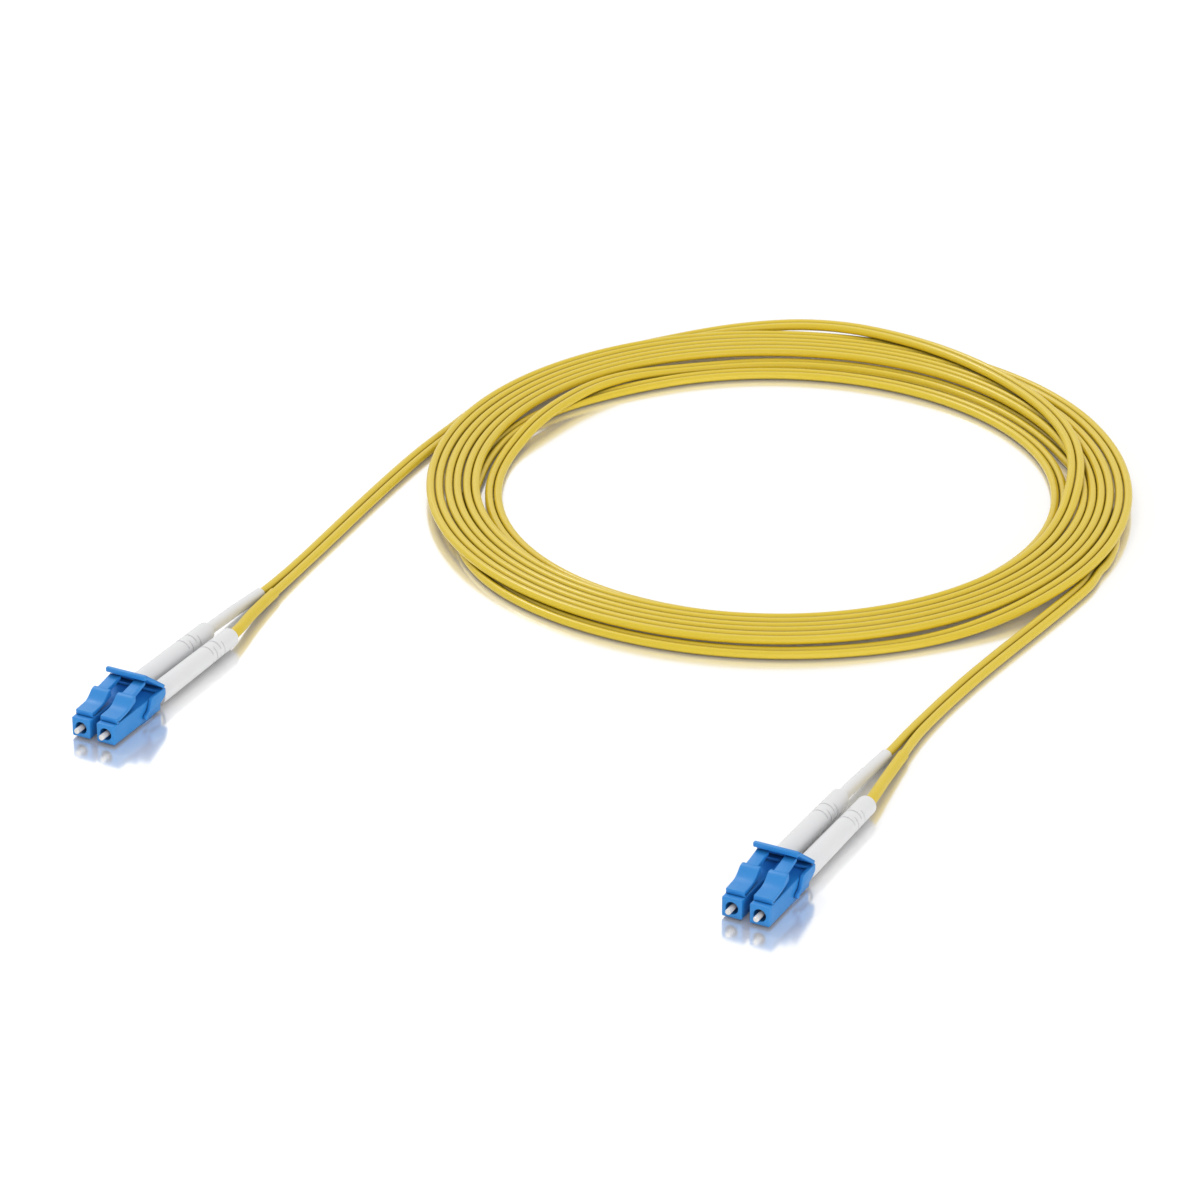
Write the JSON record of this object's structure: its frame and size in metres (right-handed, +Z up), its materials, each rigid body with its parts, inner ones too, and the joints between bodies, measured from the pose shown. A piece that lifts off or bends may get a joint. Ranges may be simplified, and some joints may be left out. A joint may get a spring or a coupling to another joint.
{
  "type": "fiber optic patch cord",
  "caption": "Paired yellow optical cord in a flat round coil, with a latched blue twin plug and white boots at each end.",
  "frame": {"origin": "on the surface the cord lies on, midway between the two connector pairs and halfway along them", "axes": "+Z up, +Y from the ferrules back along the plugs towards the coil, +X from the first connector pair to the second"},
  "size_m": [0.1742, 0.2716, 0.0108],
  "materials": {
    "blue_plastic": "semi-gloss moulded",
    "zirconia": "ground",
    "steel": "drawn",
    "nickel": "nickel plated",
    "aluminium": "satin",
    "buffer_plastic": "satin",
    "white_boot": "satin moulded",
    "white_sleeve": "satin",
    "yellow_sleeve": "satin",
    "yellow_jacket": "semi-gloss"
  },
  "bodies": {
    "cord_and_plugs": {"a1_housing": "blue_plastic", "a1_spring": "steel", "a1_rear_body": "nickel", "a1_crimp_sleeve": "aluminium", "a1_boot": "white_boot", "a1_marker": "white_sleeve", "a2_housing": "blue_plastic", "a2_spring": "steel", "a2_rear_body": "nickel", "a2_crimp_sleeve": "aluminium", "a2_boot": "white_boot", "a2_marker": "yellow_sleeve", "b1_housing": "blue_plastic", "b1_spring": "steel", "b1_rear_body": "nickel", "b1_crimp_sleeve": "aluminium", "b1_boot": "white_boot", "b1_marker": "white_sleeve", "b2_housing": "blue_plastic", "b2_spring": "steel", "b2_rear_body": "nickel", "b2_crimp_sleeve": "aluminium", "b2_boot": "white_boot", "b2_marker": "yellow_sleeve", "a_clip": "blue_plastic", "b_clip": "blue_plastic", "lead_a1": "yellow_jacket", "lead_a2": "yellow_jacket", "coil_1": "yellow_jacket", "coil_2": "yellow_jacket", "lead_b1": "yellow_jacket", "lead_b2": "yellow_jacket"},
    "a1_latch_lever": {"a1_latch": "blue_plastic"},
    "a1_ferrule_set": {"a1_ferrule": "zirconia", "a1_flange": "steel", "a1_buffer": "buffer_plastic"},
    "a2_latch_lever": {"a2_latch": "blue_plastic"},
    "a2_ferrule_set": {"a2_ferrule": "zirconia", "a2_flange": "steel", "a2_buffer": "buffer_plastic"},
    "b1_latch_lever": {"b1_latch": "blue_plastic"},
    "b1_ferrule_set": {"b1_ferrule": "zirconia", "b1_flange": "steel", "b1_buffer": "buffer_plastic"},
    "b2_latch_lever": {"b2_latch": "blue_plastic"},
    "b2_ferrule_set": {"b2_ferrule": "zirconia", "b2_flange": "steel", "b2_buffer": "buffer_plastic"},
    "a_trigger_lever": {"a_trigger": "blue_plastic"},
    "b_trigger_lever": {"b_trigger": "blue_plastic"}
  },
  "joints": [
    {"name": "a_trigger_press", "type": "hinge", "parent": "cord_and_plugs", "child": "a_trigger_lever", "pos_m": [-0.079, -0.0166, 0.0061], "axis": [1, 0, 0], "range_deg": [0, 15], "stiffness_Nm_per_rad": 0.02},
    {"name": "a1_latch_press", "type": "hinge", "parent": "cord_and_plugs", "child": "a1_latch_lever", "pos_m": [-0.08213, -0.0338, 0.0052], "axis": [-1, 0, 0], "range_deg": [0, 8]},
    {"name": "a1_ferrule_slide", "type": "slide", "parent": "cord_and_plugs", "child": "a1_ferrule_set", "axis": [0, 1, 0], "range_m": [0, 0.0009], "stiffness_N_per_m": 1000, "springref_m": -0.005, "deforming": ["a1_spring"]},
    {"name": "a2_latch_press", "type": "hinge", "parent": "cord_and_plugs", "child": "a2_latch_lever", "pos_m": [-0.07587, -0.0338, 0.0052], "axis": [-1, 0, 0], "range_deg": [0, 8]},
    {"name": "a2_ferrule_slide", "type": "slide", "parent": "cord_and_plugs", "child": "a2_ferrule_set", "axis": [0, 1, 0], "range_m": [0, 0.0009], "stiffness_N_per_m": 1000, "springref_m": -0.005, "deforming": ["a2_spring"]},
    {"name": "b_trigger_press", "type": "hinge", "parent": "cord_and_plugs", "child": "b_trigger_lever", "pos_m": [0.079, -0.0202, 0.0061], "axis": [1, 0, 0], "range_deg": [0, 15], "stiffness_Nm_per_rad": 0.02},
    {"name": "b1_latch_press", "type": "hinge", "parent": "cord_and_plugs", "child": "b1_latch_lever", "pos_m": [0.07587, -0.0374, 0.0052], "axis": [-1, 0, 0], "range_deg": [0, 8]},
    {"name": "b1_ferrule_slide", "type": "slide", "parent": "cord_and_plugs", "child": "b1_ferrule_set", "axis": [0, 1, 0], "range_m": [0, 0.0009], "stiffness_N_per_m": 1000, "springref_m": -0.005, "deforming": ["b1_spring"]},
    {"name": "b2_latch_press", "type": "hinge", "parent": "cord_and_plugs", "child": "b2_latch_lever", "pos_m": [0.08213, -0.0374, 0.0052], "axis": [-1, 0, 0], "range_deg": [0, 8]},
    {"name": "b2_ferrule_slide", "type": "slide", "parent": "cord_and_plugs", "child": "b2_ferrule_set", "axis": [0, 1, 0], "range_m": [0, 0.0009], "stiffness_N_per_m": 1000, "springref_m": -0.005, "deforming": ["b2_spring"]}
  ],
  "couplings": [
    {"joint": "a1_latch_press", "follows": "a_trigger_press", "ratio": 0.5333},
    {"joint": "a2_latch_press", "follows": "a_trigger_press", "ratio": 0.5333},
    {"joint": "b1_latch_press", "follows": "b_trigger_press", "ratio": 0.5333},
    {"joint": "b2_latch_press", "follows": "b_trigger_press", "ratio": 0.5333}
  ]
}
